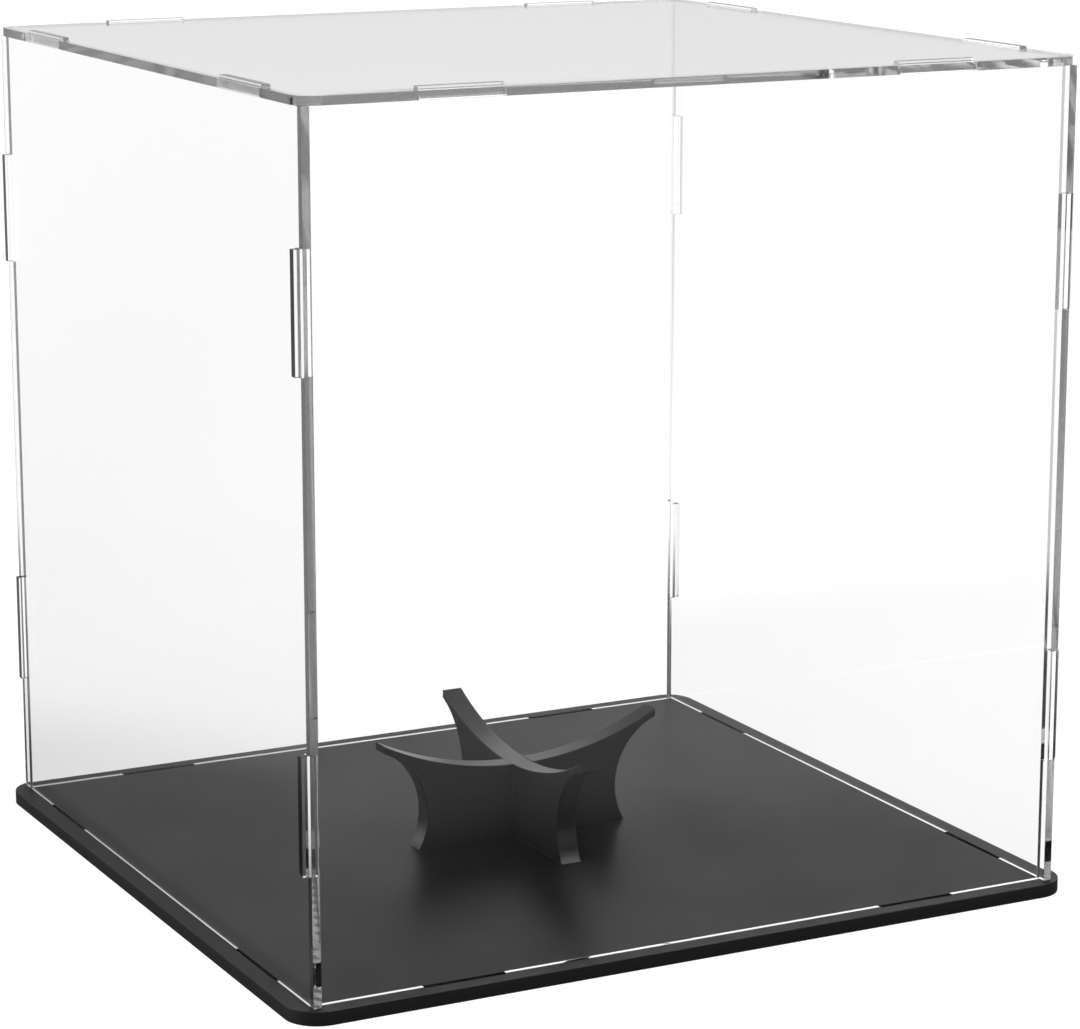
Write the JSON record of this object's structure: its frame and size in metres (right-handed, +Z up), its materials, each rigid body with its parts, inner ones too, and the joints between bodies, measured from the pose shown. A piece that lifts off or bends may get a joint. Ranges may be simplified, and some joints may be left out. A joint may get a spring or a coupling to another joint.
{
  "type": "display case",
  "caption": "Clear square-cornered display case for a ball: tab-and-slot walls and top on a black rounded base, with a low crossed cradle stand inside.",
  "frame": {"origin": "centre of the base plate's underside", "axes": "+Z up, +X to the right along the front panel, the front panel facing -Y"},
  "size_m": [0.3, 0.285, 0.2992],
  "materials": {
    "black_base": "black acrylic sheet, satin faces and smoother cut edges",
    "clear_wall": "clear cast acrylic sheet, polished faces and grey laser-cut edges",
    "clear_top": "clear cast acrylic sheet, polished faces and grey laser-cut edges",
    "black_stand": "black acrylic sheet, satin"
  },
  "bodies": {
    "base": {"base_plate": "black_base"},
    "walls": {"front_panel": "clear_wall", "back_panel": "clear_wall", "left_panel": "clear_wall", "right_panel": "clear_wall"},
    "top": {"top_plate": "clear_top"},
    "stand_lower": {"stand_plate_lower": "black_stand"},
    "stand_upper": {"stand_plate_upper": "black_stand"}
  },
  "joints": [
    {"name": "cover_lift", "type": "slide", "parent": "base", "child": "walls", "axis": [0, 0, 1], "range_m": [0, 0.32]},
    {"name": "lid_lift", "type": "slide", "parent": "walls", "child": "top", "axis": [0, 0, 1], "range_m": [0, 0.12]},
    {"name": "stand_lift", "type": "slide", "parent": "base", "child": "stand_lower", "axis": [0, 0, 1], "range_m": [0, 0.12]},
    {"name": "stand_lap", "type": "slide", "parent": "stand_lower", "child": "stand_upper", "axis": [0, 0, 1], "range_m": [0, 0.06]}
  ]
}
